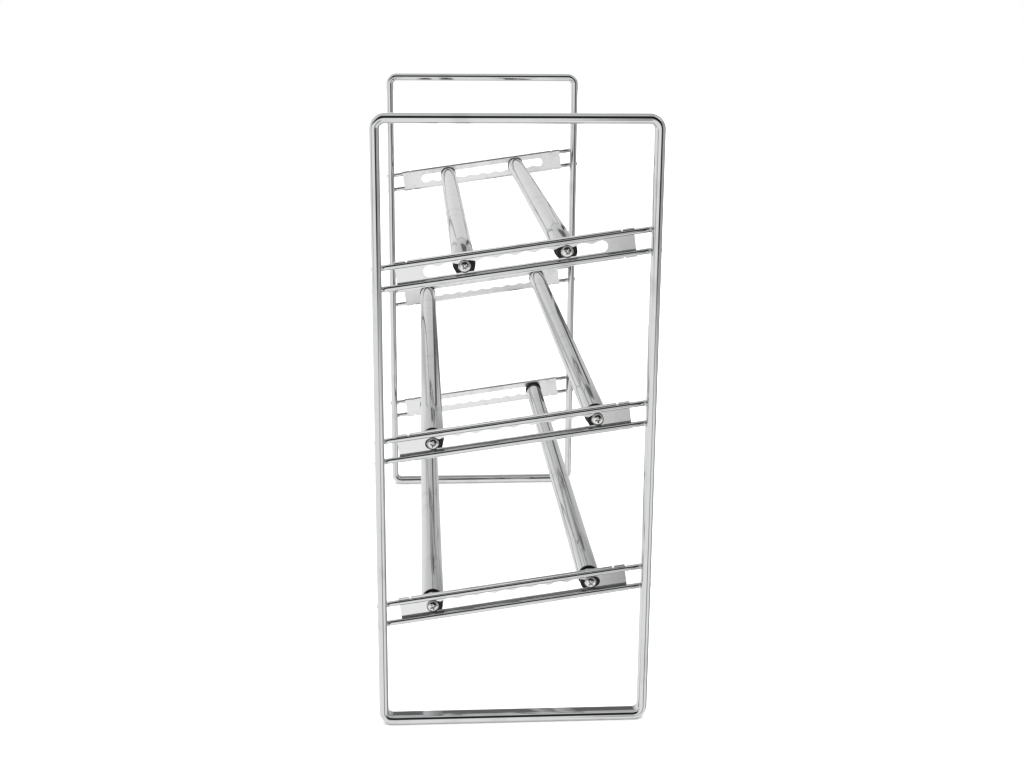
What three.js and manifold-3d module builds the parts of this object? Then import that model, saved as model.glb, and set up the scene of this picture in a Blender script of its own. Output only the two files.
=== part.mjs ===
// An expandable shoe rack of chromed steel: two end frames of flat oval tube, each with three
// sloping pairs of cross wires and three slotted plates, joined by six telescopic tubes.
// Millimetres. X runs along the tubes, -Y is the low front, +Z is up and the rack stands on Z = 0.
import * as THREE from 'three';
import { mergeVertices } from 'three/addons/utils/BufferGeometryUtils.js';
import Module from 'manifold-3d';

// The rack as a whole
const frameSpacing = 640.4; // between the planes of the two end frames, pushed together
const frameDepth = 222; // between the centre lines of the uprights
const frameHeight = 507.3; // between the centre lines of the bottom and top bars
const tierHeights = [107.2, 251.3, 395.3]; // of the slot centres above the bottom bar's centre line
const slope = THREE.MathUtils.degToRad(8.1); // the tiers rise to the back
const gap = 0.3; // left between pieces that touch

// End frames, bent from flat oval tube whose flats face into and out of the loop
const loopRadius = 3.9; // of the tube's rounded edges
const loopFlat = 6.7; // the width of its flats, along X
const loopCornerRadius = 8.1; // of the tube's centre line
const loopCurve = 3; // facets per quarter of a rounded edge

// Cross wires
const crossRadius = 2.4;
const crossSpacing = 17.2; // between the two cross wires of a pair
const crossOverhang = 1.2; // past the outer face of the uprights
const wireSides = 12;
const cornerSteps = 5; // facets along each bend

// Slotted plates, folded over both cross wires of a pair
const sheet = 0.8;
const wireClearance = 0.25;
const plateLength = 194;
const lipPastWire = 1.6; // how far the folded lips reach past the middle of the wires
const foldRadius = 2;
const slotLength = 149.2;
const slotHeight = 9.3;
const waves = 9; // detents along one edge of the slot
const waveHeight = 1.85;
const tabLength = 10; // the end of each lip that is crimped on the wire
const tabCut = 1.6; // the width of the cut between that tab and the rest of the lip
const cutReach = 20; // of the tool that makes it, across the whole lip
const cutDepth = 5;

// Telescopic tubes
const outerRadius = 9.5;
const outerWall = 0.7;
const innerRadius = 8;
const innerWall = 0.7;
const innerShown = 13.4; // between the right plate and the mouth of the outer tube
const innerLength = 560;
const tubeSides = 20;

// End plugs and their screws
const collarThick = 3;
const outerCollarRadius = 9.8;
const innerCollarRadius = 8.6;
const spigotLength = 22;
const spigotClearance = 0.25;
const spigotFloor = 2; // closes the bottom of the screw's hole
const shankRadius = 2.4;
const shankLength = 20;
const headRadius = 5.2;
const headHeight = 3.4;
const headRim = 1; // the straight edge below the domed part of the head
const crossArm = 5.2; // the recess for the screwdriver
const crossWidth = 1.3;
const crossDepth = 1.9;
const plugSides = 16;
const screwSides = 12;

// Where the two tubes of each tier sit along the slope, lowest tier first
const tubePlaces = [
  { front: -69.2, rear: 66.5 },
  { front: -68.2, rear: 69.4 },
  { front: -41.5, rear: 41.5 },
];
const tierNames = ['low', 'middle', 'top'];

const chrome = { color: 0xd8dadc, roughness: 0.08, metalness: 1 };
const satinChrome = { color: 0xc9cbcd, roughness: 0.22, metalness: 1 };
const blackPlastic = { color: 0x0c0c0d, roughness: 0.35, metalness: 0 };

const wasm = await Module();
wasm.setup();

// The same shape with each corner kept once, which is what makes its surface closed.
function welded(geometry) {
  const bare = geometry.clone();
  bare.deleteAttribute('normal');
  bare.deleteAttribute('uv');
  const merged = mergeVertices(bare, 1e-4);
  const index = [];
  const old = merged.index.array;
  for (let i = 0; i < old.length; i += 3) {
    const [a, b, c] = [old[i], old[i + 1], old[i + 2]];
    if (a !== b && b !== c && c !== a) index.push(a, b, c);
  }
  merged.setIndex(index);
  return merged;
}

function solidOf(geometry) {
  const closed = welded(geometry);
  const vertProperties = closed.attributes.position.array;
  const triVerts = new Uint32Array(closed.index.array);
  return new wasm.Manifold(new wasm.Mesh({ numProp: 3, vertProperties, triVerts }));
}

function cutAway(geometry, cutters) {
  let solid = solidOf(geometry);
  for (const cutter of cutters) solid = solid.subtract(solidOf(cutter));
  const mesh = solid.getMesh();
  const position = new THREE.BufferAttribute(new Float32Array(mesh.vertProperties), 3);
  const result = new THREE.BufferGeometry().setAttribute('position', position);
  result.setIndex(new THREE.BufferAttribute(new Uint32Array(mesh.triVerts), 1));
  result.computeVertexNormals();
  return result;
}

function part(name, geometry, finish) {
  const mesh = new THREE.Mesh(geometry, new THREE.MeshStandardMaterial(finish));
  mesh.name = name;
  return mesh;
}

// A regular outline whose flats, not its corners, lie at the radius.
function wireSection(radius, sides) {
  const cornerRadius = radius / Math.cos(Math.PI / sides);
  const corners = [];
  for (let i = 0; i < sides; i++) {
    const angle = ((i + 0.5) / sides) * 2 * Math.PI;
    corners.push(new THREE.Vector2(cornerRadius * Math.cos(angle), cornerRadius * Math.sin(angle)));
  }
  return new THREE.Shape(corners);
}

// The flat oval of the end frames, with its flats above and below.
function ovalSection() {
  const outline = new THREE.Shape();
  outline.absarc(loopFlat / 2, 0, loopRadius, -Math.PI / 2, Math.PI / 2, false);
  outline.absarc(-loopFlat / 2, 0, loopRadius, Math.PI / 2, 1.5 * Math.PI, false);
  return outline;
}

// The closed path of an end frame's tube, with stations only where the tube bends.
class LoopPath extends THREE.Curve {
  constructor() {
    super();
    const turns = [
      { y: 1, z: 0, from: -0.5 },
      { y: 1, z: 1, from: 0 },
      { y: 0, z: 1, from: 0.5 },
      { y: 0, z: 0, from: 1 },
    ];
    this.stations = [];
    for (const turn of turns) {
      const y = (turn.y - 0.5) * (frameDepth - 2 * loopCornerRadius);
      const z = turn.z * (frameHeight - 2 * loopCornerRadius) + loopCornerRadius;
      for (let i = 0; i <= cornerSteps; i++) {
        const angle = (turn.from + (0.5 * i) / cornerSteps) * Math.PI;
        const outward = new THREE.Vector3(0, Math.cos(angle), Math.sin(angle));
        const point = outward.clone().multiplyScalar(loopCornerRadius);
        point.add(new THREE.Vector3(0, y, z));
        const tangent = new THREE.Vector3(0, -Math.sin(angle), Math.cos(angle));
        this.stations.push({ point, tangent });
      }
    }
    this.stations.push(this.stations[0]);
  }

  station(u) {
    return this.stations[Math.round(u * (this.stations.length - 1))];
  }

  getPointAt(u) {
    return this.station(u).point.clone();
  }

  getTangentAt(u, target = new THREE.Vector3()) {
    return target.copy(this.station(u).tangent);
  }
}

function loopGeometry() {
  const extrudePath = new LoopPath();
  const steps = extrudePath.stations.length - 1;
  const curveSegments = loopCurve;
  const swept = new THREE.ExtrudeGeometry(ovalSection(), { steps, extrudePath, curveSegments });
  // The ends meet, so the two lids are left out and the sides alone close the tube.
  const sides = swept.groups[1];
  const all = swept.attributes.position.array;
  const corners = all.slice(3 * sides.start, 3 * (sides.start + sides.count));
  const closed = new THREE.BufferGeometry();
  closed.setAttribute('position', new THREE.BufferAttribute(corners, 3));
  closed.computeVertexNormals();
  return closed;
}

function crossWireGeometry() {
  const length = (frameDepth + 2 * (loopRadius + crossOverhang)) / Math.cos(slope);
  const section = wireSection(crossRadius, wireSides);
  const wire = new THREE.ExtrudeGeometry(section, { depth: length, bevelEnabled: false });
  return wire.translate(0, 0, -length / 2).rotateX(-Math.PI / 2);
}

// A plate in its own frame: X towards the tubes, Y along the slot, Z across it, and X = 0 on the
// middle of the wires that it clasps.
const webOuter = crossRadius + wireClearance;
const webInner = webOuter + sheet;
const lipOuter = crossSpacing / 2 + crossRadius + wireClearance + sheet;

function channelShape() {
  const innerFold = foldRadius - sheet;
  const outline = new THREE.Shape();
  outline.moveTo(-lipPastWire, lipOuter);
  outline.lineTo(-lipPastWire, lipOuter - sheet);
  outline.absarc(webOuter - innerFold, lipOuter - foldRadius, innerFold, Math.PI / 2, 0, true);
  outline.absarc(webOuter - innerFold, foldRadius - lipOuter, innerFold, 0, -Math.PI / 2, true);
  outline.lineTo(-lipPastWire, sheet - lipOuter);
  outline.lineTo(-lipPastWire, -lipOuter);
  outline.absarc(webInner - foldRadius, foldRadius - lipOuter, foldRadius, -Math.PI / 2, 0, false);
  outline.absarc(webInner - foldRadius, lipOuter - foldRadius, foldRadius, 0, Math.PI / 2, false);
  return outline;
}

function slotShape() {
  const endRadius = slotHeight / 2;
  const reach = slotLength / 2 - endRadius;
  const samples = 4 * waves;
  const outline = new THREE.Shape();
  outline.absarc(reach, 0, endRadius, -Math.PI / 2, Math.PI / 2, false);
  outline.absarc(-reach, 0, endRadius, Math.PI / 2, 1.5 * Math.PI, false);
  for (let i = 1; i < samples; i++) {
    const rise = (waveHeight / 2) * (1 - Math.cos((2 * Math.PI * i) / 4));
    outline.lineTo(-reach + (2 * reach * i) / samples, rise - endRadius);
  }
  return outline;
}

function plateGeometry() {
  const channel = new THREE.ExtrudeGeometry(channelShape(), {
    depth: plateLength,
    bevelEnabled: false,
    curveSegments: 3,
  });
  channel.translate(0, 0, -plateLength / 2).rotateX(Math.PI / 2);
  const punch = 4 * sheet;
  const slot = new THREE.ExtrudeGeometry(slotShape(), {
    depth: punch,
    bevelEnabled: false,
    curveSegments: 5,
  });
  const toPlate = new THREE.Matrix4();
  toPlate.makeBasis(new THREE.Vector3(0, 1, 0), new THREE.Vector3(0, 0, 1), new THREE.Vector3(1, 0, 0));
  slot.applyMatrix4(toPlate).translate(webOuter + (sheet - punch) / 2, 0, 0);
  const cutters = [slot];
  for (const end of [-1, 1]) {
    for (const edge of [-1, 1]) {
      const cut = new THREE.BoxGeometry(cutReach, tabCut, cutDepth);
      const y = end * (plateLength / 2 - tabLength);
      cutters.push(cut.translate(0, y, edge * lipOuter));
    }
  }
  return cutAway(channel, cutters);
}

// A turned piece about X, from a profile of [x, radius] that is closed or has both ends on the axis.
function turned(profile, sides) {
  const points = profile.map(([x, radius]) => new THREE.Vector2(radius, x));
  return new THREE.LatheGeometry(points, sides).rotateZ(-Math.PI / 2);
}

function tubeGeometry(start, end, radius, wall) {
  const bore = radius - wall;
  const profile = [[start, bore], [start, radius], [end, radius], [end, bore], [start, bore]];
  return turned(profile, tubeSides);
}

// A plug whose collar faces the plate at X = 0 and whose spigot fills the tube beyond it.
function plugGeometry(collarRadius, bore) {
  const hole = shankRadius + gap;
  const spigot = bore - spigotClearance;
  const end = collarThick + spigotLength;
  const profile = [
    [end - spigotFloor, 0],
    [end - spigotFloor, hole],
    [0, hole],
    [0, collarRadius],
    [collarThick, collarRadius],
    [collarThick, spigot],
    [end, spigot],
    [end, 0],
  ];
  return turned(profile, plugSides);
}

// A screw whose head bears on X = 0 and whose shank points along +X.
function screwGeometry() {
  const dome = headHeight - headRim;
  const profile = [
    [-headHeight, 0],
    [-headHeight, 0.45 * headRadius],
    [-headRim - 0.8 * dome, 0.72 * headRadius],
    [-headRim - 0.45 * dome, 0.92 * headRadius],
    [-headRim, headRadius],
    [0, headRadius],
    [0, shankRadius],
    [shankLength, shankRadius],
    [shankLength, 0],
  ];
  const blank = turned(profile, screwSides);
  const recess = [0, 1].map((quarter) => {
    const arm = new THREE.BoxGeometry(2 * crossDepth, crossArm, crossWidth);
    return arm.rotateX((quarter * Math.PI) / 2).translate(-headHeight, 0, 0);
  });
  return cutAway(blank, recess);
}

// Both end frames are the same part: the cross wires are welded on the left side of the uprights.
const halfTube = loopFlat / 2 + loopRadius; // along X
const crossWireX = -(halfTube + crossRadius + gap);
const overallLeft = crossWireX - crossRadius;
const rightFrameX = (frameSpacing - halfTube - overallLeft) / 2;
const leftFrameX = rightFrameX - frameSpacing;

// A tier group has Y along the slope and Z across it.
function tierGroup(x, tier) {
  const group = new THREE.Group();
  group.position.set(x, 0, loopRadius + tierHeights[tier]);
  group.rotation.x = slope;
  return group;
}

function endFrame(side, x) {
  const frame = new THREE.Group();
  const loop = part(`end_frame_${side}`, loopGeometry(), chrome);
  loop.position.set(x, 0, loopRadius);
  frame.add(loop);
  tierNames.forEach((tierName, tier) => {
    const group = tierGroup(x + crossWireX, tier);
    for (const [place, edge] of [['upper', 1], ['lower', -1]]) {
      const wire = part(`cross_wire_${tierName}_${place}_${side}`, crossWireGeometry(), chrome);
      wire.position.z = (edge * crossSpacing) / 2;
      group.add(wire);
    }
    const plate = part(`slot_plate_${tierName}_${side}`, plateGeometry(), satinChrome);
    // The right plates are the left ones turned over, so their wavy edge is uppermost.
    if (side === 'right') plate.rotation.y = Math.PI;
    group.add(plate);
    frame.add(group);
  });
  return frame;
}

const leftSeat = leftFrameX + crossWireX + webInner + gap;
const rightSeat = rightFrameX + crossWireX - webInner - gap;
const headSeat = sheet + 2 * gap; // from a plug's face to the screw head outside the plate

function telescopicTube(tier, place) {
  const group = tierGroup(0, tier);
  group.translateY(tubePlaces[tier][place]);
  const label = `${tierNames[tier]}_${place}`;
  const outerStart = leftSeat + collarThick + gap;
  const outerEnd = rightSeat - innerShown;
  const innerEnd = rightSeat - collarThick - gap;
  const outer = tubeGeometry(outerStart, outerEnd, outerRadius, outerWall);
  group.add(part(`outer_tube_${label}`, outer, chrome));
  const inner = tubeGeometry(innerEnd - innerLength, innerEnd, innerRadius, innerWall);
  group.add(part(`inner_tube_${label}`, inner, chrome));

  const leftPlug = plugGeometry(outerCollarRadius, outerRadius - outerWall);
  const rightPlug = plugGeometry(innerCollarRadius, innerRadius - innerWall);
  for (const [side, seat, turn, plug] of [
    ['left', leftSeat, 0, leftPlug],
    ['right', rightSeat, Math.PI, rightPlug],
  ]) {
    const tip = new THREE.Group();
    tip.position.x = seat;
    tip.rotation.y = turn;
    tip.add(part(`tube_plug_${label}_${side}`, plug, blackPlastic));
    const screw = part(`tube_screw_${label}_${side}`, screwGeometry(), satinChrome);
    screw.position.x = -headSeat;
    tip.add(screw);
    group.add(tip);
  }
  return group;
}

const rack = new THREE.Group();
rack.add(endFrame('left', leftFrameX), endFrame('right', rightFrameX));
for (const tier of tubePlaces.keys()) {
  rack.add(telescopicTube(tier, 'front'), telescopicTube(tier, 'rear'));
}

export default rack;
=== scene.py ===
# %% [markdown]
# # A chromed shoe rack that widens
#
# The rack is two end frames of flat oval tube joined by six telescopic tubes. Nearly all of it is
# bright chrome, so its look comes from three things: smooth, exact surfaces, the small rounded
# edges that every pressed or sawn piece has, and a room with light and dark parts to reflect.
# Each piece is therefore built as its own smooth mesh around the solids of the frame.

# %% Load the solids that fix every place and size
import math

import bmesh
import bpy
import numpy as np
from mathutils import Matrix, Vector, noise


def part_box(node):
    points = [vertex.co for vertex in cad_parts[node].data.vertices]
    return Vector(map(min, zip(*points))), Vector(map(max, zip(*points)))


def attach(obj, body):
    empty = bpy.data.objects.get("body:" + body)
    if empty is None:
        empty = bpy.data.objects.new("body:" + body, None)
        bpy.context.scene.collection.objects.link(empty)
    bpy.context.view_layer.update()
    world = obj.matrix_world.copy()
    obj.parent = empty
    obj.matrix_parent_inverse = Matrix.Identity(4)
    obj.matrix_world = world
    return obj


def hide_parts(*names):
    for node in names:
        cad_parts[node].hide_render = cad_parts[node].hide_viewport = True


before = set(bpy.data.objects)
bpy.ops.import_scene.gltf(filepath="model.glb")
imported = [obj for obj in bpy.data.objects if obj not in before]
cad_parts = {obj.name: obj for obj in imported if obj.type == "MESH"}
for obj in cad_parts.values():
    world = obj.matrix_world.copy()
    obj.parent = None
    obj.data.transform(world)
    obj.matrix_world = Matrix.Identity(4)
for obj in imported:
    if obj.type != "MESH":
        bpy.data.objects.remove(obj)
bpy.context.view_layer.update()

# %% [markdown]
# ## Sizes
#
# Places come from the solids: the boxes of the frames, wires, plates, plugs and tubes. Radii,
# walls, folds and waves are values, which stand beside the pieces they shape. All lengths are in
# metres, so `mm` turns a maker's millimetres into them.

# %% Sizes and places
mm = 0.001
sides = ("left", "right")
tiers = ("low", "middle", "top")
places = ("front", "rear")


def middle(node):
    low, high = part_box(node)
    return (low + high) / 2


frame_low, frame_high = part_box("end_frame_right")
tube_radius = 3.9 * mm  # of the rounded edges of the frames' flat oval tube
tube_flat = frame_high.x - frame_low.x - 2 * tube_radius
corner_radius = 8.1 * mm
half_depth = frame_high.y - tube_radius
top_bar = frame_high.z - tube_radius

front, rear = middle("outer_tube_top_front"), middle("outer_tube_top_rear")
slope = math.atan2(rear.z - front.z, rear.y - front.y)

wire_low, wire_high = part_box("cross_wire_top_upper_left")
wire_radius = (wire_high.x - wire_low.x) / 2
wire_length = (wire_high.y - wire_low.y - 2 * wire_radius * math.sin(slope)) / math.cos(slope)
tier_height = {}
for tier in tiers:
    upper = middle(f"cross_wire_{tier}_upper_left").z
    lower = middle(f"cross_wire_{tier}_lower_left").z
    tier_height[tier] = (upper + lower) / 2
wire_offset = (upper - lower) / (2 * math.cos(slope))
wires_x = {side: middle(f"cross_wire_top_upper_{side}").x for side in sides}
frames_x = {side: middle(f"end_frame_{side}").x for side in sides}

print("slope of the tiers", round(math.degrees(slope), 2), "degrees")
print("tier heights", {tier: round(z, 4) for tier, z in tier_height.items()})


def tier_frame(x, tier):
    """Places a piece at a tier: X runs along the tubes, Y along the slope, Z across the slot."""
    tilt = Matrix.Rotation(slope, 4, "X")
    return Matrix.Translation((x, 0, tier_height[tier])) @ tilt


# %% [markdown]
# ## Shader maths
#
# A finish is a small program of nodes. Wrapping a socket in a class lets that program be written
# as sums and products, which is far easier to read than links. `Finish.node` adds any other
# node: its settings go in first, because they decide which sockets it has.

# %% The helper that writes finishes
class Signal:
    """The output of a shader node, which can be used in sums and products."""

    def __init__(self, finish, socket):
        self.finish = finish
        self.socket = socket

    def math(self, operation, first, second):
        return self.finish.node("ShaderNodeMath", {"operation": operation}, {0: first, 1: second})

    def __add__(self, other):
        return self.math("ADD", self, other)

    def __mul__(self, other):
        return self.math("MULTIPLY", self, other)

    def __sub__(self, other):
        return self.math("SUBTRACT", self, other)

    def __rsub__(self, other):
        return self.math("SUBTRACT", other, self)

    __radd__ = __add__
    __rmul__ = __mul__


class Finish:
    """A node tree under construction."""

    def __init__(self, owner):
        owner.use_nodes = True
        self.owner = owner
        self.tree = owner.node_tree
        self.tree.nodes.clear()

    def node(self, kind, settings=None, inputs=None, output=0):
        node = self.tree.nodes.new(kind)
        for key, value in (settings or {}).items():
            setattr(node, key, value)
        for key, value in (inputs or {}).items():
            socket = node.inputs[key]
            if isinstance(value, Signal):
                self.tree.links.new(value.socket, socket)
            else:
                socket.default_value = value
        return Signal(self, node.outputs[output]) if len(node.outputs) else node

    def place(self, stretch=(1, 1, 1)):
        """Where a point is on its piece, in metres, squeezed along the axes by `stretch`."""
        point = self.node("ShaderNodeTexCoord", output="Object")
        settings = {"operation": "MULTIPLY"}
        return self.node("ShaderNodeVectorMath", settings, {0: point, 1: stretch})

    def cloud(self, scale, detail=2, stretch=(1, 1, 1)):
        """Soft noise from 0 to 1, `scale` lumps to the metre."""
        inputs = {"Vector": self.place(stretch), "Scale": scale, "Detail": detail}
        return self.node("ShaderNodeTexNoise", {}, inputs, "Fac")

    def between(self, value, start, end):
        """0 below start, 1 above end, and a smooth rise from one to the other."""
        settings = {"interpolation_type": "SMOOTHSTEP"}
        inputs = {"Value": value, "From Min": start, "From Max": end}
        return self.node("ShaderNodeMapRange", settings, inputs, "Result")

    def blend(self, share, first, second):
        """From one colour to the other by a share from 0 to 1."""
        # A Mix node has one set of sockets per data type, and the colours are numbers 6 and 7.
        inputs = {0: share, 6: (*first, 1), 7: (*second, 1)}
        return self.node("ShaderNodeMix", {"data_type": "RGBA"}, inputs, 2)

    def relief(self, height, depth, strength=1.0):
        """Normals for a surface whose height varies from 0 to 1 over `depth` metres."""
        inputs = {"Height": height, "Distance": depth, "Strength": strength}
        return self.node("ShaderNodeBump", {}, inputs, "Normal")

    def surface(self, **inputs):
        """Ends a material with its shader; socket names are written with underscores."""
        named = {}
        for key, value in inputs.items():
            named[key.replace("_", " ").title().replace("Ior", "IOR")] = value
        shader = self.node("ShaderNodeBsdfPrincipled", {}, named)
        self.node("ShaderNodeOutputMaterial", {}, {"Surface": shader})
        return self.owner


print("classes", Signal.__name__, "and", Finish.__name__)

# %% [markdown]
# ## Chrome on wire and tube
#
# Decorative chrome is a hard, faintly bluish mirror over nickel. It reflects a little over half
# of the light, so a white room looks light grey in it and only the lamps look white. A perfect
# mirror looks like computer work: real plating is slightly wavy, has a haze that comes and goes,
# and keeps faint polishing marks. The waves and marks are relief; the haze is rougher and a
# little darker.

# %% Bright chrome
chromium = (0.60, 0.605, 0.61)
hazy_chromium = (0.52, 0.525, 0.53)


def bright_chrome(name, marks):
    """Chrome whose polishing marks are squeezed along the axes by `marks`."""
    finish = Finish(bpy.data.materials.new(name))
    haze = finish.between(finish.cloud(38, 4), 0.48, 0.78)
    polish = finish.cloud(900, 3, marks)
    waves = finish.cloud(60, 1)
    height = 0.75 * waves + 0.25 * polish
    return finish.surface(
        base_color=finish.blend(haze, chromium, hazy_chromium),
        metallic=1.0,
        roughness=0.045 + 0.05 * haze + 0.03 * polish,
        normal=finish.relief(height, 0.02 * mm),
    )


wire_chrome = bright_chrome("wire_chrome", (0.2, 0.2, 0.2))
tube_chrome = bright_chrome("tube_chrome", (1, 0.08, 0.08))
print("chrome finishes", wire_chrome.name, "and", tube_chrome.name)

# %% [markdown]
# ## Chrome on pressed sheet
#
# The plates are stamped from rolled strip. Plating follows the strip, so the mill's fine lines
# along the strip still show under the chrome, and the shine is softer than on drawn wire.

# %% Plated sheet
def plated_sheet(name):
    finish = Finish(bpy.data.materials.new(name))
    grain = finish.cloud(700, 3, (1, 0.04, 1))
    stain = finish.between(finish.cloud(55, 3), 0.5, 0.8)
    dimples = finish.cloud(120, 1)
    return finish.surface(
        base_color=finish.blend(stain, (0.69, 0.69, 0.695), (0.58, 0.58, 0.58)),
        metallic=1.0,
        roughness=0.10 + 0.07 * grain + 0.06 * stain,
        normal=finish.relief(0.5 * grain + 0.5 * dimples, 0.02 * mm),
    )


sheet_chrome = plated_sheet("sheet_chrome")
print("sheet finish", sheet_chrome.name)

# %% [markdown]
# ## Screws, welds and plastic
#
# The screws are barrel plated: bright, a little uneven, and dull in spots. The weld beads took
# the same chrome but are lumpy and rougher. The plugs and guide rings are black moulded plastic
# with a fine eroded texture from the mould.

# %% Screw, weld and plastic finishes
def screw_plating(name):
    finish = Finish(bpy.data.materials.new(name))
    spots = finish.between(finish.cloud(500, 3), 0.45, 0.75)
    return finish.surface(
        base_color=finish.blend(spots, (0.68, 0.675, 0.66), (0.50, 0.495, 0.48)),
        metallic=1.0,
        roughness=0.12 + 0.16 * spots,
        normal=finish.relief(finish.cloud(1500, 2), 0.03 * mm),
    )


def weld_metal(name):
    finish = Finish(bpy.data.materials.new(name))
    lumps = finish.cloud(650, 3)
    scale = finish.between(lumps, 0.4, 0.7)
    return finish.surface(
        base_color=finish.blend(scale, (0.66, 0.66, 0.665), (0.42, 0.42, 0.42)),
        metallic=1.0,
        roughness=0.16 + 0.22 * scale,
        normal=finish.relief(lumps, 0.12 * mm),
    )


def moulded_black(name):
    finish = Finish(bpy.data.materials.new(name))
    erosion = finish.cloud(2600, 2)
    wear = finish.between(finish.cloud(140, 3), 0.5, 0.8)
    return finish.surface(
        base_color=finish.blend(wear, (0.009, 0.009, 0.010), (0.022, 0.022, 0.023)),
        roughness=0.30 + 0.12 * erosion + 0.10 * wear,
        ior=1.33,
        normal=finish.relief(erosion, 0.04 * mm, 0.6),
    )


screw_finish = screw_plating("screw_plating")
weld_finish = weld_metal("weld_metal")
black_plastic = moulded_black("moulded_black")
print("finishes", sorted(m.name for m in bpy.data.materials if m.users or m.node_tree))

# %% [markdown]
# ## From rings of points to a mesh
#
# Wire, tube, plugs, rings and screws all have a section that is carried along a path or spun
# about an axis. One helper skins any such row of rings. Curves with a bevel could make the wire
# too, but rings also make hollow tubes and stepped plugs, and give full control of the edges.

# %% Skins, spun pieces and soft edges
def finished(mesh, smooth_below=38):
    """Turns the faces outwards and shades the mesh smooth, except over real edges."""
    work = bmesh.new()
    work.from_mesh(mesh)
    bmesh.ops.remove_doubles(work, verts=work.verts, dist=0.001 * mm)
    bmesh.ops.recalc_face_normals(work, faces=work.faces)
    work.to_mesh(mesh)
    work.free()
    mesh.shade_smooth()
    mesh.set_sharp_from_angle(angle=math.radians(smooth_below))
    return mesh


def skin(name, rings, wrap=False):
    """A closed mesh through rings of points: lidded at both ends, or wrapped round to the start."""
    rings = np.array(rings)
    count, around = rings.shape[:2]
    faces = []
    for i in range(count if wrap else count - 1):
        here, there = i * around, (i + 1) % count * around
        for k in range(around):
            after = (k + 1) % around
            faces.append((here + k, there + k, there + after, here + after))
    if not wrap:
        faces.append(range(around))
        faces.append(range((count - 1) * around, count * around))
    mesh = bpy.data.meshes.new(name)
    mesh.from_pydata(rings.reshape(-1, 3), [], faces)
    return finished(mesh)


def eased(outline, radius, closed=False, steps=4):
    """The outline with its corners rounded, as sawing, tumbling or a mould leaves them."""
    points = [Vector(point) for point in outline]
    last = len(points) - 1
    result = []
    for i, point in enumerate(points):
        if not closed and i in (0, last):
            result.append(point)
            continue
        back = points[i - 1] - point
        ahead = points[(i + 1) % len(points)] - point
        reach = radius / math.tan(back.angle(ahead) / 2)
        reach = min(reach, 0.45 * back.length, 0.45 * ahead.length)
        start = point + back.normalized() * reach
        end = point + ahead.normalized() * reach
        for step in range(steps + 1):
            t = step / steps
            result.append((1 - t) ** 2 * start + 2 * t * (1 - t) * point + t**2 * end)
    return result


def spun(name, profile, around=48, wrap=False):
    """A piece turned about X, from a profile of points (x, radius)."""
    rings = []
    for x, radius in profile:
        angles = np.arange(around) * 2 * math.pi / around
        ring = np.stack([np.full(around, x), radius * np.cos(angles), radius * np.sin(angles)], 1)
        rings.append(ring)
    return skin(name, rings, wrap)


def mount(name, mesh, place, finish, body, slot, *nodes):
    """Puts a piece in the scene, on the body it moves with, in place of its solids."""
    if not mesh.materials:
        mesh.materials.append(finish)
    piece = bpy.data.objects.new(name, mesh)
    bpy.context.scene.collection.objects.link(piece)
    piece.matrix_world = place
    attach(piece, body)
    if nodes:
        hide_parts(*nodes)
    return piece


print("helpers", [helper.__name__ for helper in (finished, skin, eased, spun, mount)])

# %% [markdown]
# ## End frames
#
# Each end frame is a closed loop of flat oval tube. Such loops are bent from one length and butt
# welded, with the weld ground flush, so no seam is made here. The section is an oval whose
# straight sides face into and out of the loop, so it bends the easy way. Sweeping the section by
# hand keeps it from twisting, which a bevelled curve can do at tight corners.

# %% Two loops of flat oval tube
def oval_section(quarter=10):
    """Points (x, outward) round the flat oval."""
    section = []
    for centre, start in ((tube_flat / 2, -0.5), (-tube_flat / 2, 0.5)):
        for i in range(2 * quarter + 1):
            angle = (start + i / (2 * quarter)) * math.pi
            section.append((centre + tube_radius * math.cos(angle), tube_radius * math.sin(angle)))
    return section


def loop_stations(corner_steps=14, straight_steps=10):
    """Points (y, z) and outward directions along the middle of the tube."""
    bends = ((1, 0, -0.5), (1, 1, 0.0), (-1, 1, 0.5), (-1, 0, 1.0))
    stations = []
    for side, high, start in bends:
        y = side * (half_depth - corner_radius)
        z = (top_bar - corner_radius) if high else (tube_radius + corner_radius)
        for i in range(corner_steps + 1):
            angle = (start + 0.5 * i / corner_steps) * math.pi
            outward = Vector((math.cos(angle), math.sin(angle)))
            stations.append((Vector((y, z)) + corner_radius * outward, outward))
    filled = []
    for i, (point, outward) in enumerate(stations):
        filled.append((point, outward))
        after = stations[(i + 1) % len(stations)][0]
        if (after - point).length > 4 * corner_radius:
            for step in range(1, straight_steps):
                filled.append((point.lerp(after, step / straight_steps), outward))
    return filled


section = oval_section()
rings = []
for point, outward in loop_stations():
    ring = [(x, *(point + out * outward)) for x, out in section]
    rings.append(ring)
loop_mesh = skin("frame_loop", rings, wrap=True)
for side in sides:
    place = Matrix.Translation((frames_x[side], 0, 0))
    body = f"{side}_end"
    node = f"end_frame_{side}"
    mount(f"frame_loop_{side}", loop_mesh, place, wire_chrome, body, "chrome_wire", node)
print("frame loop", len(loop_mesh.polygons), "faces")

# %% [markdown]
# ## Cross wires
#
# A pair of thin wires crosses each frame at every tier. They are cropped from coil, which leaves
# a slightly drawn-in end with a small flat, and welded to the left-hand face of the uprights.

# %% Twelve cross wires
crop = 0.9 * mm  # how far back from its end a wire is drawn in by the shears
short = {"left": 1.0 * mm, "right": 1.8 * mm}  # how far the wires are cropped short at the front


def cropped_wire(start, end):
    """A wire from start to end along X."""
    tip = [(0, 0.45), (0.15, 0.78), (0.5, 0.94), (1, 1)]
    profile = [(start + back * crop, share * wire_radius) for back, share in tip]
    for step in range(1, 12):
        profile.append((start + crop + (end - start - 2 * crop) * step / 12, wire_radius))
    profile += [(end - back * crop, share * wire_radius) for back, share in reversed(tip)]
    return spun("cross_wire", profile, around=32)


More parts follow.
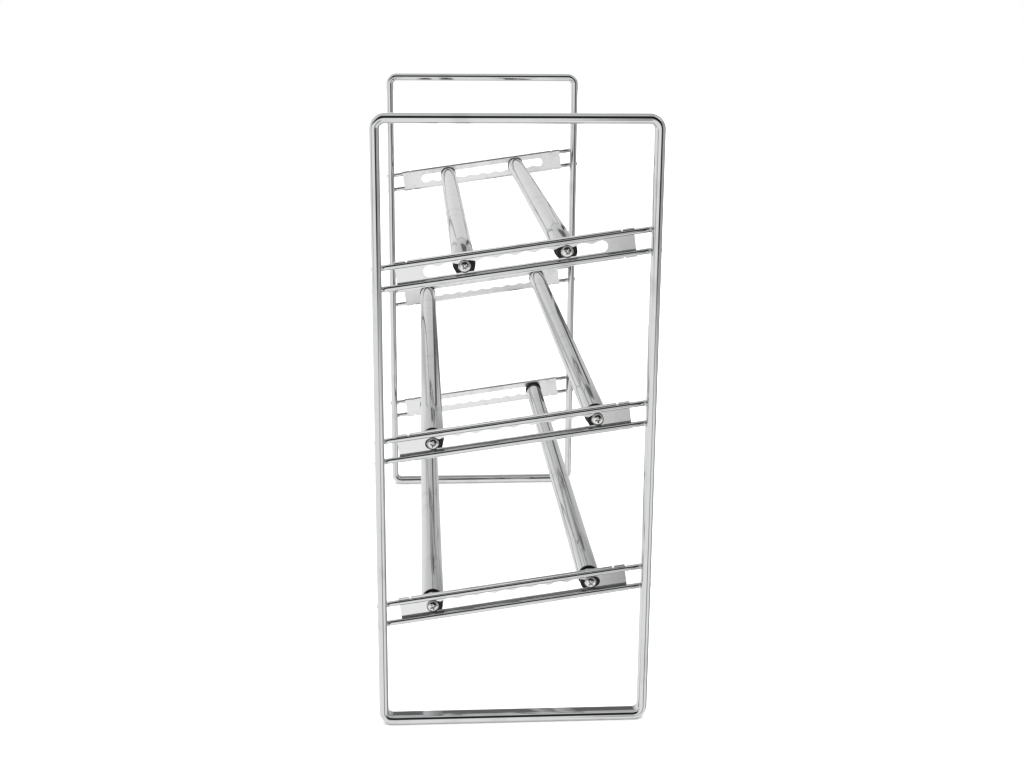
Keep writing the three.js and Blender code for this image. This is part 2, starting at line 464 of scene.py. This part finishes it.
along_slope = Matrix.Rotation(math.pi / 2, 4, "Z")
for side in sides:
    wire_mesh = cropped_wire(short[side] - wire_length / 2, wire_length / 2)
    for tier in tiers:
        for edge, way in (("upper", 1), ("lower", -1)):
            lift = Matrix.Translation((0, 0, way * wire_offset))
            place = tier_frame(wires_x[side], tier) @ lift @ along_slope
            name = f"rail_{tier}_{edge}_{side}"
            node = f"cross_wire_{tier}_{edge}_{side}"
            mount(name, wire_mesh, place, wire_chrome, f"{side}_end", "chrome_wire", node)
print("cross wires", round(wire_length / mm, 1), "mm long")

# %% [markdown]
# ## Weld beads
#
# Where a cross wire lies on an upright, a short bead of filler runs along it and shows at both
# edges of the upright as a bright lump. A bead is an oval blob pushed about by noise. All beads
# of one frame are one mesh, since they are one operation in the shop.

# %% Twelve beads on each frame
bead_half = Vector((1.9, 5.0, 2.1)) * mm
bead_rings = 14
bead_sides = 18


def bead_points(seed):
    """Rings of points along the slope, from one tip of a bead to the other."""
    rings = []
    for i in range(bead_rings):
        turn = math.pi * (i + 0.5) / bead_rings
        ring = []
        for k in range(bead_sides):
            angle = 2 * math.pi * k / bead_sides
            across = math.sin(turn)
            point = Vector((across * math.cos(angle), math.cos(turn), across * math.sin(angle)))
            lump = 1 + 0.16 * noise.noise(point * 1.7 + Vector((seed, 0, 0)))
            ring.append(Vector((a * b * lump for a, b in zip(point, bead_half))))
        rings.append(ring)
    return rings


for number, side in enumerate(sides):
    work = bmesh.new()
    seed = 10 * number
    for tier in tiers:
        for way in (1, -1):
            for upright in (-1, 1):
                seed += 1
                bead = skin("bead", bead_points(seed))
                height = way * wire_offset
                y = (upright * half_depth + height * math.sin(slope)) / math.cos(slope)
                seat = wire_radius + 0.1 * mm
                spot = Matrix.Translation((seat, y, height))
                bead.transform(tier_frame(wires_x[side], tier) @ spot)
                work.from_mesh(bead)
                bpy.data.meshes.remove(bead)
    beads = bpy.data.meshes.new(f"weld_beads_{side}")
    work.to_mesh(beads)
    work.free()
    finished(beads, 80)
    mount(f"weld_beads_{side}", beads, Matrix(), weld_finish, f"{side}_end", "chrome_wire")
print("bead", [round(2 * c / mm, 1) for c in bead_half], "mm")

# %% [markdown]
# ## Slotted plates
#
# A plate is a strip pressed to a channel that clasps both wires. Near each end its folds are cut
# through, so that the last part can be crimped on the wire on its own. The slot has hollows along
# one edge, in which a tube's screw comes to rest. The plate is laid out as its middle surface,
# half above and half below the slot, and a Solidify modifier gives it its thickness: this keeps
# the sheet equally thick round the folds, which a boolean from a block would not. The lip beside
# the straight edge is the narrow one, so more of its wire stays in sight.

# %% Shape of the sheet
plate_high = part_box("slot_plate_top_left")[1]
sheet = 0.8 * mm
fold = 2.0 * mm - sheet / 2  # of the sheet's middle
web_x = plate_high.x - wires_x["left"] - sheet / 2
lip_z = wire_offset + wire_radius + 0.25 * mm + sheet / 2
lip_ends = {1: 1.4 * mm, -1: -1.6 * mm}  # one lip stops short of its wire's middle, one passes it
half_plate = 97 * mm  # the plate's half length, as laid out flat along the slope
half_slot = 74.6 * mm
slot_radius = 4.65 * mm
wave_count = 9
wave_height = 1.85 * mm
cut_middle = half_plate - 10 * mm
cut_half = 0.8 * mm
cut_from = lip_z - 2.1 * mm  # the height at which a cut through the fold starts
straight_slot = half_slot - slot_radius


def slot_edge(y, wavy):
    """Half the height of the slot at y, on its straight or its wavy edge."""
    past = abs(y) - straight_slot
    if past >= slot_radius:
        return 0.0
    if past > 0:
        return math.sqrt(slot_radius**2 - past**2)
    if not wavy:
        return slot_radius
    share = (y + straight_slot) / (2 * straight_slot) * wave_count
    from_hollow = 2 * abs(share - round(share))
    # A parabola gives round hollows with sharp teeth between, and the cosine blunts the teeth.
    tooth = 0.55 * from_hollow**2 + 0.45 * (1 - math.cos(math.pi * from_hollow)) / 2
    return slot_radius - wave_height * tooth


def section_point(y, row, inner, lip_x):
    """Row 0 is the slot's edge, 5 the height of the cuts, 6 to 12 the fold and 13 to 15 the lip."""
    if row <= 5:
        return Vector((web_x, y, inner + (cut_from - inner) * row / 5))
    fold_z = lip_z - fold
    if row <= 12:
        angle = (row - 6) / 6 * math.pi / 2
        return Vector((web_x - fold * (1 - math.cos(angle)), y, fold_z + fold * math.sin(angle)))
    share = (row - 12) / 3
    return Vector((web_x - fold + (lip_x - web_x + fold) * share, y, lip_z))


columns = {-half_plate, half_plate}
for end in (-1, 1):
    for inset in (2, 5, 8):
        columns.add(end * (half_plate - inset * mm))
    columns.update((end * (cut_middle - cut_half), end * (cut_middle + cut_half)))
    columns.update((end * 78 * mm, end * 82 * mm))
    for step in range(11):
        columns.add(end * (straight_slot + slot_radius * math.sin(step / 10 * math.pi / 2)))
for step in range(1, 10 * wave_count):
    columns.add(-straight_slot + 2 * straight_slot * step / (10 * wave_count))
columns = sorted(columns)
print("plate", len(columns), "columns of points")

# %% [markdown]
# The two halves meet beyond the ends of the slot, where the slot's edge runs together, so points
# that coincide are welded. The faces of the cuts are simply left out. A narrow Bevel after the
# Solidify takes the razor edge off, and gives the chrome its bright line along every edge.

# %% One plate, used six times
work = bmesh.new()
row_count = 16
for way, wavy in ((1, False), (-1, True)):
    grid = []
    for y in columns:
        inner = slot_edge(y, wavy)
        line = []
        for row in range(row_count):
            point = section_point(y, row, inner, lip_ends[way])
            line.append(work.verts.new((point.x, point.y, way * point.z)))
        grid.append(line)
    for i in range(len(columns) - 1):
        between = (columns[i] + columns[i + 1]) / 2
        in_cut = abs(abs(between) - cut_middle) < cut_half
        for row in range(row_count - 1):
            if in_cut and row >= 5:
                continue
            corners = (grid[i][row], grid[i + 1][row], grid[i + 1][row + 1], grid[i][row + 1])
            work.faces.new(corners if way == 1 else corners[::-1])
bmesh.ops.remove_doubles(work, verts=work.verts, dist=0.001 * mm)
bmesh.ops.dissolve_degenerate(work, edges=work.edges, dist=0.001 * mm)
bmesh.ops.recalc_face_normals(work, faces=work.faces)
plate_surface = bpy.data.meshes.new("plate_surface")
work.to_mesh(plate_surface)
work.free()


def with_modifiers(name, mesh, *modifiers):
    """The mesh after a stack of modifiers, each given as its kind and its settings."""
    carrier = bpy.data.objects.new(name, mesh)
    bpy.context.scene.collection.objects.link(carrier)
    for kind, settings in modifiers:
        modifier = carrier.modifiers.new(kind, kind)
        for key, value in settings.items():
            setattr(modifier, key, value)
    ready = carrier.evaluated_get(bpy.context.evaluated_depsgraph_get())
    result = bpy.data.meshes.new_from_object(ready)
    result.name = name
    bpy.data.objects.remove(carrier)
    return result


def soft_edges(width, sharper_than):
    """Settings of a Bevel that only takes edges sharper than an angle in degrees."""
    limit = math.radians(sharper_than)
    return {"width": width, "segments": 2, "limit_method": "ANGLE", "angle_limit": limit}


plate_mesh = with_modifiers(
    "slot_plate",
    plate_surface,
    ("SOLIDIFY", {"thickness": sheet, "offset": 0, "use_even_offset": True}),
    ("BEVEL", soft_edges(0.14 * mm, 50)),
)
finished(plate_mesh, 20)
for side in sides:
    # The right plates are the left ones turned over, so their hollows are uppermost.
    turn = Matrix.Rotation(math.pi if side == "right" else 0, 4, "Y")
    for tier in tiers:
        place = tier_frame(wires_x[side], tier) @ turn
        name = f"clasp_plate_{tier}_{side}"
        node = f"slot_plate_{tier}_{side}"
        mount(name, plate_mesh, place, sheet_chrome, f"{side}_end", "chrome_plate", node)
print("plate", len(plate_mesh.polygons), "faces")

# %% [markdown]
# ## Telescopic tubes
#
# Both tubes are thin. The outer one is drawn in at its plug, so it meets the plate with a rounded
# shoulder, and its mouth is cut square with the burr taken off. The inner one has the same
# rounded shoulder at its own plug. They are hollow, as the real ones are.

# %% Twelve tubes
outer_radius = 9.5 * mm
outer_wall = 0.7 * mm
inner_radius = 8.0 * mm
inner_wall = 0.7 * mm
shoulder = 2.6 * mm  # how far from its end a tube starts to draw in
neck = 1.5 * mm  # and by how much its radius shrinks


def tube_profile(start, end, radius, wall):
    """A tube drawn in at `start` and cut square at `end`; start may be the higher x."""
    way = 1 if end > start else -1
    outside = []
    inside = []
    for step in range(7):
        angle = step / 6 * math.pi / 2
        x = start + way * shoulder * (1 - math.cos(angle))
        drawn = radius - neck * (1 - math.sin(angle))
        outside.append((x, drawn))
        inside.append((x, drawn - wall))
    for step in range(1, 9):
        x = start + way * shoulder + (end - start - way * shoulder) * step / 8
        outside.append((x, radius))
        inside.append((x, radius - wall))
    ease = 0.22 * mm
    outside[-1] = (end - way * ease, radius)
    inside[-1] = (end - way * ease, radius - wall)
    lip = [(end - way * 0.3 * ease, radius - 0.3 * ease), (end, radius - ease)]
    lip += [(end, radius - wall + ease), (end - way * 0.3 * ease, radius - wall + 0.3 * ease)]
    return outside + lip + inside[::-1]


def axis_place(node):
    """A place on the tubes' axis, at X = 0, that keeps a tube's height and depth."""
    centre = middle(node)
    tilt = Matrix.Rotation(slope, 4, "X")
    return Matrix.Translation((0, centre.y, centre.z)) @ tilt


outer_low, outer_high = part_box("outer_tube_top_front")
inner_low, inner_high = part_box("inner_tube_top_front")
tube_around = 64
creep = {"low_rear": 12 * mm}  # this sleeve has worked along its plug and shows the black spigot


def outer_mesh(start):
    profile = tube_profile(start, outer_high.x, outer_radius, outer_wall)
    return spun("outer_tube", profile, tube_around, True)


seated = outer_mesh(outer_low.x)
inner_profile = tube_profile(inner_high.x, inner_low.x, inner_radius, inner_wall)
inner_mesh = spun("inner_tube", inner_profile, tube_around, True)
for tier in tiers:
    for spot in places:
        label = f"{tier}_{spot}"
        place = axis_place(f"outer_tube_{label}")
        node = f"outer_tube_{label}"
        sleeve = outer_mesh(outer_low.x + creep[label]) if label in creep else seated
        mount(f"sleeve_{label}", sleeve, place, tube_chrome, f"outer_{label}", "chrome_tube", node)
        node = f"inner_tube_{label}"
        mount(f"slider_{label}", inner_mesh, place, tube_chrome, f"inner_{label}", "chrome_tube", node)
print("outer tube", round((outer_high.x - outer_low.x) / mm, 1), "mm long")

# %% [markdown]
# ## Plugs and guide rings
#
# Every tube has a black plug where it meets its plate: a ribbed spigot inside the tube and a
# collar that slides on the plate. In the mouth of each outer tube sits a black guide ring, on
# which the inner tube runs. Both are spun shapes with the small radii that a mould has.

# %% Twelve plugs and six rings
collar = 3.0 * mm
collar_radii = {"left": 9.8 * mm, "right": 8.6 * mm}
bores = {"left": outer_radius - outer_wall, "right": inner_radius - inner_wall}
shank_hole = 2.7 * mm
plug_reach = 25 * mm
hole_depth = plug_reach - 2 * mm  # the hole for the screw is blind
pole = 0.5 * mm  # radius of the small flat that closes the hole and the tip
rib_starts = (7 * mm, 15 * mm)
rib_width = 3 * mm
rib_play = 0.25 * mm  # between a rib and the bore, and between the spigot and the bore
spigot_play = 0.55 * mm
mould_radius = 0.35 * mm


def plug_profile(collar_radius, bore):
    """The collar faces the plate at x = 0 and the spigot, with two ribs, fills the bore."""
    spigot = bore - spigot_play
    rib = bore - rib_play
    outline = [(hole_depth, pole), (hole_depth, shank_hole), (0, shank_hole)]
    outline += [(0, collar_radius), (collar, collar_radius), (collar, spigot)]
    for start in rib_starts:
        end = start + rib_width
        outline += [(start, spigot), (start, rib), (end, rib), (end, spigot)]
    outline += [(plug_reach, spigot), (plug_reach, pole)]
    return eased(outline, mould_radius, steps=3)


ring_face = 1.2 * mm
ring_reach = 8 * mm
ring_bore = inner_radius + 0.12 * mm
ring_fit = 0.05 * mm  # play on the outer tube's wall
ring_outline = [
    (-ring_reach, ring_bore),
    (ring_face, ring_bore),
    (ring_face, outer_radius - ring_fit),
    (ring_fit, outer_radius - ring_fit),
    (ring_fit, outer_radius - outer_wall - ring_fit),
    (-ring_reach, outer_radius - outer_wall - ring_fit),
]
ring_mesh = spun("guide_ring", eased(ring_outline, 0.2 * mm, True, 3), tube_around, True)
moves_with = {"left": "outer", "right": "inner"}
plug_meshes = {}
for side in sides:
    profile = plug_profile(collar_radii[side], bores[side])
    plug_meshes[side] = spun(f"{moves_with[side]}_plug", profile, 48)
turned_round = {"left": Matrix(), "right": Matrix.Rotation(math.pi, 4, "Y")}
plug_face = {
    "left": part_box("tube_plug_top_front_left")[0].x,
    "right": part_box("tube_plug_top_front_right")[1].x,
}
for tier in tiers:
    for spot in places:
        label = f"{tier}_{spot}"
        axis = axis_place(f"outer_tube_{label}")
        mouth = axis @ Matrix.Translation((outer_high.x, 0, 0))
        name = f"guide_ring_{label}"
        mount(name, ring_mesh, mouth, black_plastic, f"outer_{label}", "black_plastic")
        for side in sides:
            place = axis @ Matrix.Translation((plug_face[side], 0, 0)) @ turned_round[side]
            body = f"{moves_with[side]}_{label}"
            node = f"tube_plug_{label}_{side}"
            name = f"end_plug_{label}_{side}"
            mount(name, plug_meshes[side], place, black_plastic, body, "black_plastic", node)
print("plug collars", [round(radius / mm, 1) for radius in collar_radii.values()], "mm in radius")

# %% [markdown]
# ## Screws
#
# A pan head screw with a cross recess clamps each plug to its plate. The screw is spun from its
# outline, and its thread is plain rings. The recess is four tapering wings about a blunt point,
# as a punch forms it, and a boolean cuts it, because its walls cross the dome at no fixed place.
# A fine bevel then rolls its rim.

# %% Twelve screws
head_radius = 5.2 * mm
head_height = 3.4 * mm
head_rim = 0.9 * mm
shank_radius = 2.4 * mm
shank_length = 20 * mm
thread_pitch = 1.6 * mm
thread_depth = 0.35 * mm
thread_start = 1.5 * mm  # from the underside of the head
wing = 3.3 * mm  # nominal half span and half width of the recess's wings
wing_half_width = 0.74 * mm
recess_depth = 2.3 * mm
punch_above = 1 * mm  # how far the punch stands above the head, and how much wider it is there
flare = 0.5 * mm
half_width_flare = 0.1 * mm
point_half_span = 0.9 * mm  # of the punch's blunt point
point_half_width = 0.34 * mm

head_profile = [(-head_height, 0.25 * mm)]
for step in range(1, 13):
    angle = step / 12 * math.pi / 2
    dome = (head_height - head_rim) * math.cos(angle) ** 1.25
    head_profile.append((-head_rim - dome, head_radius * math.sin(angle) ** 0.92))
head_profile += [(-0.15 * mm, head_radius), (0, head_radius - 0.2 * mm), (0, shank_radius)]
turns = int((shank_length - 3 * mm) / thread_pitch)
for turn in range(turns):
    start = thread_start + turn * thread_pitch
    head_profile.append((start + 0.25 * thread_pitch, shank_radius - thread_depth))
    head_profile.append((start + 0.75 * thread_pitch, shank_radius))
head_profile += [(shank_length - 1 * mm, 1.7 * mm), (shank_length, 0.6 * mm)]


def wing_points(angle):
    """One of the two crossed blades of the punch, which taper to its blunt point."""
    corners = []
    butt = (-head_height - punch_above, wing + flare, wing_half_width + half_width_flare)
    point = (-head_height + recess_depth, point_half_span, point_half_width)
    for x, reach, half in (butt, point):
        for a, b in ((reach, half), (-reach, half), (-reach, -half), (reach, -half)):
            y = a * math.cos(angle) - b * math.sin(angle)
            z = a * math.sin(angle) + b * math.cos(angle)
            corners.append((x, y, z))
    return [corners[:4], corners[4:]]


screw_mesh = spun("screw", head_profile, around=48)
for angle in (0, math.pi / 2):
    punch_mesh = skin("punch", wing_points(angle))
    punch = bpy.data.objects.new("punch", punch_mesh)
    bpy.context.scene.collection.objects.link(punch)
    cut = ("BOOLEAN", {"operation": "DIFFERENCE", "object": punch, "solver": "EXACT"})
    screw_mesh = with_modifiers("screw", screw_mesh, cut)
    bpy.data.objects.remove(punch)
rolled_rim = ("BEVEL", soft_edges(0.09 * mm, 48))
screw_mesh = finished(with_modifiers("screw", screw_mesh, rolled_rim), 32)

head_gap = 1.4 * mm  # between a plug's face and the underside of the head, across the plate
extra_turn = 0.62  # in radians, between one screw and the next
for level, tier in enumerate(tiers):
    for row, spot in enumerate(places):
        label = f"{tier}_{spot}"
        axis = axis_place(f"outer_tube_{label}")
        for end, side in enumerate(sides):
            # Screws stop where they are tight, so neighbours' crosses point different ways.
            turns_more = level + 2 * row + end + 1
            spin = Matrix.Rotation(extra_turn * turns_more, 4, "X")
            seat = Matrix.Translation((-head_gap, 0, 0))
            face = Matrix.Translation((plug_face[side], 0, 0))
            place = axis @ face @ turned_round[side] @ seat @ spin
            body = f"{moves_with[side]}_{label}"
            node = f"tube_screw_{label}_{side}"
            name = f"pan_screw_{label}_{side}"
            mount(name, screw_mesh, place, screw_finish, body, "bright_screw", node)
print("screw", len(screw_mesh.polygons), "faces, thread of", turns, "turns")

# %% [markdown]
# ## Floor
#
# The rack stands on a wide sheet of white card, just uneven enough in colour and shine that it
# isn't flat. Where a view goes past its edges, it meets the plain white of the room.

# %% White floor
floor_low, floor_high = (-9, -9), (2.2, 9)
floor_mesh = bpy.data.meshes.new("floor")
drop = -0.05 * mm
corners = [
    (floor_low[0], floor_low[1], drop),
    (floor_high[0], floor_low[1], drop),
    (floor_high[0], floor_high[1], drop),
    (floor_low[0], floor_high[1], drop),
]
floor_mesh.from_pydata(corners, [], [(0, 1, 2, 3)])
card = Finish(bpy.data.materials.new("white_card"))
tooth = card.cloud(30, 4)
floor_mesh.materials.append(
    card.surface(
        base_color=card.blend(tooth, (0.93, 0.93, 0.93), (0.90, 0.90, 0.90)),
        roughness=0.42 + 0.1 * tooth,
    )
)
floor = bpy.data.objects.new("floor", floor_mesh)
bpy.context.scene.collection.objects.link(floor)
print("floor", floor_high[0] - floor_low[0], "by", floor_high[1] - floor_low[1], "m")

# %% [markdown]
# ## The room that the chrome reflects
#
# Chrome shows its room. A white room all round gives flat grey metal with no shape, so a studio
# keeps some of it dark. Here the wall behind the camera is dark from a little above the horizon
# almost to the ceiling, which draws the dark line along the bars that face the lens. The wall
# behind the rack is greyer towards the rear, which keeps the tubes from going all white. A few
# soft dark screens draw the lines down the uprights and along the tubes. The world shader paints
# all of it by direction. Where the lens itself sees past the floor it gets plain white.

# %% Walls, ceiling and screens
white = (1, 1, 1, 1)
room = Finish(bpy.data.worlds.new("studio"))
bpy.context.scene.world = room.owner
direction = room.node("ShaderNodeTexCoord", output="Generated")
x = room.node("ShaderNodeSeparateXYZ", {}, {0: direction})
y, z = (Signal(room, x.socket.node.outputs[name]) for name in "YZ")
degree = 180 / math.pi
azimuth = x.math("ARCTAN2", y, x) * degree
elevation = z.math("ARCSINE", z, 0) * degree
from_front = azimuth.math("ABSOLUTE", azimuth, 0)


def screen(turn, half_turn, height, half_height, soft, darkness):
    """The light left by a soft dark screen; turn and height are its middle, all in degrees."""
    away = azimuth.math("ABSOLUTE", azimuth - turn, 0)
    across = 180 - away.math("ABSOLUTE", away - 180, 0)
    up = elevation.math("ABSOLUTE", elevation - height, 0)
    inside = 1 - room.between(across, half_turn, half_turn + soft)
    level = 1 - room.between(up, half_height, half_height + soft)
    return 1 - darkness * inside * level


# From here on, azimuth 0 is the wall behind the camera and 180 the wall behind the rack.
dark_band = room.between(elevation, 6, 16) * (1 - room.between(elevation, 58, 80))
behind_rack = room.between(from_front, 95, 130)
walls = 1 - dark_band * (0.98 - 0.85 * room.between(from_front, 36, 66))
screens = [
    screen(19, 10, -12, 24, 4, 0.50),
    screen(31, 15, 10, 18, 8, 0.95),
    screen(66, 7, 8, 20, 6, 0.70),
    screen(105, 18, -5, 22, 12, 0.50),
    screen(-64, 4, 10, 18, 5, 0.80),
    screen(14, 5, -25, 3, 3, 0.60),
    screen(168, 1.0, 2, 14, 1.6, 0.85),
    screen(-167, 0.8, 4, 10, 1.4, 0.35),
    screen(176, 6, 27, 5, 4, 0.74),
]
light = walls
for shade in screens:
    light = light * shade
back_light = 0.82 - 0.5 * y  # y is the part of the direction that points to the rear
front_light = 1.16 - 0.24 * room.between(elevation, 60, 78)
brightness = light * (front_light + (back_light - front_light) * behind_rack)
seen_directly = room.node("ShaderNodeLightPath", output="Is Camera Ray")
painted = room.node("ShaderNodeBackground", {}, {"Strength": brightness, "Color": white})
plain = room.node("ShaderNodeBackground", {}, {"Strength": 1.0, "Color": white})
mixed = room.node("ShaderNodeMixShader", {}, {0: seen_directly, 1: painted, 2: plain})
room.node("ShaderNodeOutputWorld", {}, {"Surface": mixed})
print("room with", len(screens), "screens")

# %% [markdown]
# ## Lamp
#
# A very broad soft light overhead lifts the whole floor to white, with hardly any shadow under
# such thin bars. It and the floor are kept out of the reflections, which come from the walls, the
# screens and the rack's own pieces.

# %% A soft overhead light
lamp = bpy.data.lights.new("overhead", "SUN")
lamp.angle = math.radians(110)
lamp.energy = 5.0
overhead = bpy.data.objects.new("overhead", lamp)
bpy.context.scene.collection.objects.link(overhead)
for hidden in (overhead, floor):
    hidden.visible_glossy = False
print("lamp", round(math.degrees(lamp.angle)), "degrees across")

# %% [markdown]
# ## Camera
#
# The camera stands beyond the right end frame, a little above the rack, and looks along the
# tubes. Near things are much larger than far ones, which shows how long the tubes are. The view
# transform is the plain one, so that white card stays white.

# %% A camera at the right end
eye = Vector((1.4484, -0.0761, 0.5966))
pitch = 75.22  # degrees up from straight down
roll = -0.39
heading = 86.40
lens = bpy.data.cameras.new("camera")
lens.sensor_width = 36
lens.lens = 50.65
camera = bpy.data.objects.new("camera", lens)
camera.location = eye
camera.rotation_euler = [math.radians(angle) for angle in (pitch, roll, heading)]
bpy.context.scene.collection.objects.link(camera)
bpy.context.scene.camera = camera
bpy.context.scene.view_settings.view_transform = "Standard"
print("camera", round(eye.length, 2), "m from the middle of the rack's foot")
